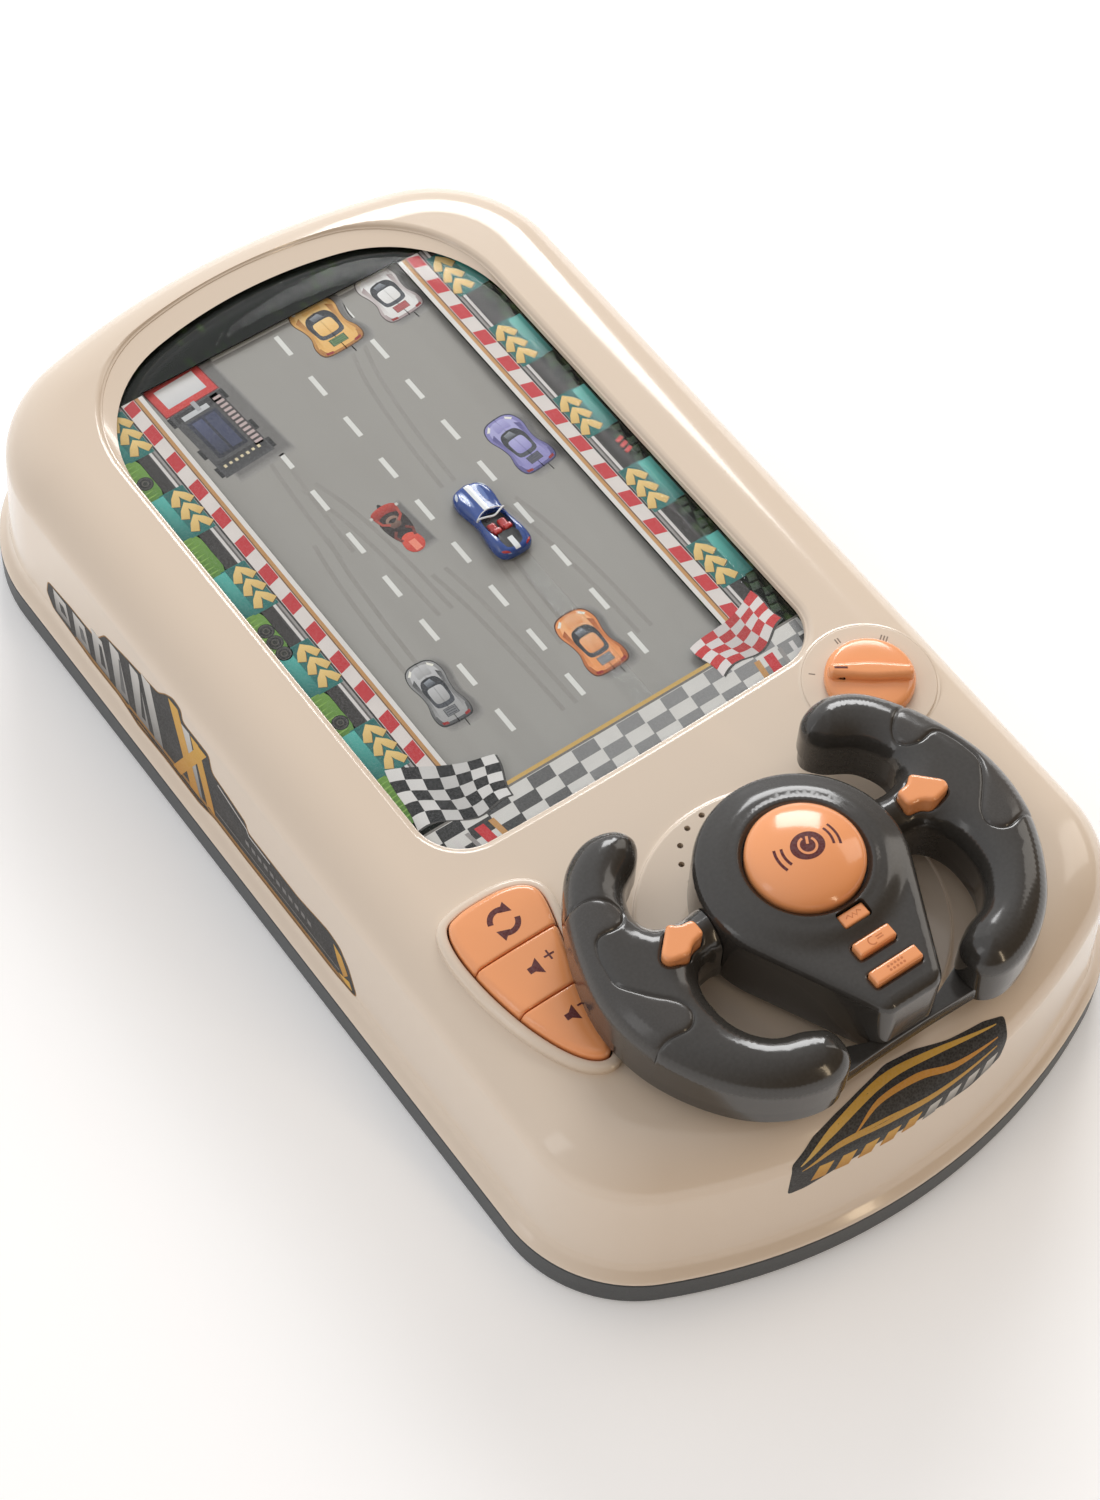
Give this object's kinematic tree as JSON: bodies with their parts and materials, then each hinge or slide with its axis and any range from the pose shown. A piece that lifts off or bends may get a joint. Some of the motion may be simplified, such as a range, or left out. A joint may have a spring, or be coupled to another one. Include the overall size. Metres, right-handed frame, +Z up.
{
  "type": "table-top driving game",
  "caption": "Battery driving toy: windowed cream body over a moving printed road, steering wheel with push buttons, sliding player car, key pad and selector knob.",
  "frame": {"origin": "centre of the overall box in plan, at the bottom of the rubber feet", "axes": "+X to the player's right, +Y away from the player along the road, +Z up"},
  "size_m": [0.215, 0.39, 0.1106],
  "materials": {
    "base_plastic": "charcoal moulded plastic with a faint satin",
    "shell_plastic": "glossy cream moulded plastic",
    "clear_plastic": "clear moulded plastic",
    "printed_card": "printed card with kerbs, boards, grass and chequers",
    "printed_belt": "grey printed road with lane marks and cars",
    "black_plastic": "black inner moulding",
    "roller_plastic": "dark ribbed roller",
    "white_plastic": "natural gear plastic",
    "steel": "plain steel",
    "circuit_board": "green circuit board",
    "cell_sleeve": "plain battery sleeve",
    "foot_rubber": "black rubber",
    "wheel_plastic": "dark grey satin-gloss moulded plastic",
    "inlay_plastic": "dark grey gloss grip inlay",
    "button_plastic": "glossy soft orange plastic",
    "car_paint": "blue with a white stripe"
  },
  "bodies": {
    "casing": {"lower_base": "base_plastic", "upper_shell": "shell_plastic", "window_lens": "clear_plastic", "scenery_card": "printed_card", "road_belt": "printed_belt", "belt_deck": "black_plastic", "side_frame_left": "black_plastic", "side_frame_right": "black_plastic", "reduction_pin": "steel", "motor": "steel", "guide_rail": "steel", "pod_board": "circuit_board", "knob_switch": "circuit_board", "main_board": "circuit_board", "speaker": "black_plastic", "battery_box": "black_plastic", "battery_door": "base_plastic", "cell_1": "cell_sleeve", "cell_2": "cell_sleeve", "cell_3": "cell_sleeve", "case_screw_1": "steel", "case_screw_2": "steel", "case_screw_3": "steel", "case_screw_4": "steel", "foot_1": "foot_rubber", "foot_2": "foot_rubber", "foot_3": "foot_rubber", "foot_4": "foot_rubber"},
    "steering_wheel": {"grip_left": "wheel_plastic", "grip_right": "wheel_plastic", "grip_inlay_left": "inlay_plastic", "grip_inlay_right": "inlay_plastic", "wheel_back": "wheel_plastic", "wheel_hub": "wheel_plastic", "hub_board": "circuit_board", "steering_shaft": "steel", "steering_gear": "white_plastic"},
    "car_carriage": {"rack_carriage": "white_plastic", "car_arm": "clear_plastic", "player_car": "car_paint"},
    "drive_roller": {"drive_roller": "roller_plastic", "roller_gear": "white_plastic"},
    "idler_roller": {"idler_roller": "roller_plastic"},
    "reduction_gear": {"reduction_gear": "white_plastic"},
    "motor_pinion": {"motor_pinion": "steel"},
    "horn_button": {"horn_button": "button_plastic"},
    "arrow_button_left": {"arrow_button_left": "button_plastic"},
    "arrow_button_right": {"arrow_button_right": "button_plastic"},
    "nose_button_1": {"nose_button_1": "button_plastic"},
    "nose_button_2": {"nose_button_2": "button_plastic"},
    "nose_button_3": {"nose_button_3": "button_plastic"},
    "pod_button_1": {"pod_button_1": "button_plastic"},
    "pod_button_2": {"pod_button_2": "button_plastic"},
    "pod_button_3": {"pod_button_3": "button_plastic"},
    "gear_knob": {"gear_knob": "button_plastic"}
  },
  "joints": [
    {"name": "steering", "type": "hinge", "parent": "casing", "child": "steering_wheel", "pos_m": [0, -0.1247, 0.086], "axis": [0, 0, 1], "range_deg": [-66.5, 133.5]},
    {"name": "car_slide", "type": "slide", "parent": "casing", "child": "car_carriage", "axis": [1, 0, 0], "range_m": [-0.056, 0.028]},
    {"name": "road_drive", "type": "hinge", "parent": "casing", "child": "drive_roller", "pos_m": [0, -0.042, 0.0491], "axis": [1, 0, 0], "continuous": true},
    {"name": "idler_spin", "type": "hinge", "parent": "casing", "child": "idler_roller", "pos_m": [0, 0.16, 0.0491], "axis": [1, 0, 0], "continuous": true},
    {"name": "reduction_spin", "type": "hinge", "parent": "casing", "child": "reduction_gear", "pos_m": [0.06, -0.042, 0.0363], "axis": [1, 0, 0], "continuous": true},
    {"name": "motor_spin", "type": "hinge", "parent": "casing", "child": "motor_pinion", "pos_m": [0.065, -0.0276, 0.0363], "axis": [1, 0, 0], "continuous": true},
    {"name": "horn_press", "type": "slide", "parent": "steering_wheel", "child": "horn_button", "axis": [0, 0, -1], "range_m": [0, 0.002], "stiffness_N_per_m": 400, "springref_m": -0.001},
    {"name": "arrow_left_press", "type": "slide", "parent": "steering_wheel", "child": "arrow_button_left", "axis": [0, 0, -1], "range_m": [0, 0.0012], "stiffness_N_per_m": 400, "springref_m": -0.001},
    {"name": "arrow_right_press", "type": "slide", "parent": "steering_wheel", "child": "arrow_button_right", "axis": [0, 0, -1], "range_m": [0, 0.0012], "stiffness_N_per_m": 400, "springref_m": -0.001},
    {"name": "nose_1_press", "type": "slide", "parent": "steering_wheel", "child": "nose_button_1", "axis": [0, 0, -1], "range_m": [0, 0.001], "stiffness_N_per_m": 400, "springref_m": -0.001},
    {"name": "nose_2_press", "type": "slide", "parent": "steering_wheel", "child": "nose_button_2", "axis": [0, 0, -1], "range_m": [0, 0.001], "stiffness_N_per_m": 400, "springref_m": -0.001},
    {"name": "nose_3_press", "type": "slide", "parent": "steering_wheel", "child": "nose_button_3", "axis": [0, 0, -1], "range_m": [0, 0.001], "stiffness_N_per_m": 400, "springref_m": -0.001},
    {"name": "pod_1_press", "type": "slide", "parent": "casing", "child": "pod_button_1", "axis": [0, 0, -1], "range_m": [0, 0.0015], "stiffness_N_per_m": 400, "springref_m": -0.001},
    {"name": "pod_2_press", "type": "slide", "parent": "casing", "child": "pod_button_2", "axis": [0, 0, -1], "range_m": [0, 0.0015], "stiffness_N_per_m": 400, "springref_m": -0.001},
    {"name": "pod_3_press", "type": "slide", "parent": "casing", "child": "pod_button_3", "axis": [0, 0, -1], "range_m": [0, 0.0015], "stiffness_N_per_m": 400, "springref_m": -0.001},
    {"name": "knob_turn", "type": "hinge", "parent": "casing", "child": "gear_knob", "pos_m": [0.0715, -0.0715, 0.07], "axis": [0, 0, 1], "range_deg": [-96, 0]}
  ],
  "couplings": [
    {"joint": "car_slide", "follows": "steering", "m_per_rad": -0.024},
    {"joint": "idler_spin", "follows": "road_drive", "ratio": 1},
    {"joint": "reduction_spin", "follows": "road_drive", "ratio": -3},
    {"joint": "motor_spin", "follows": "road_drive", "ratio": 10.5}
  ]
}
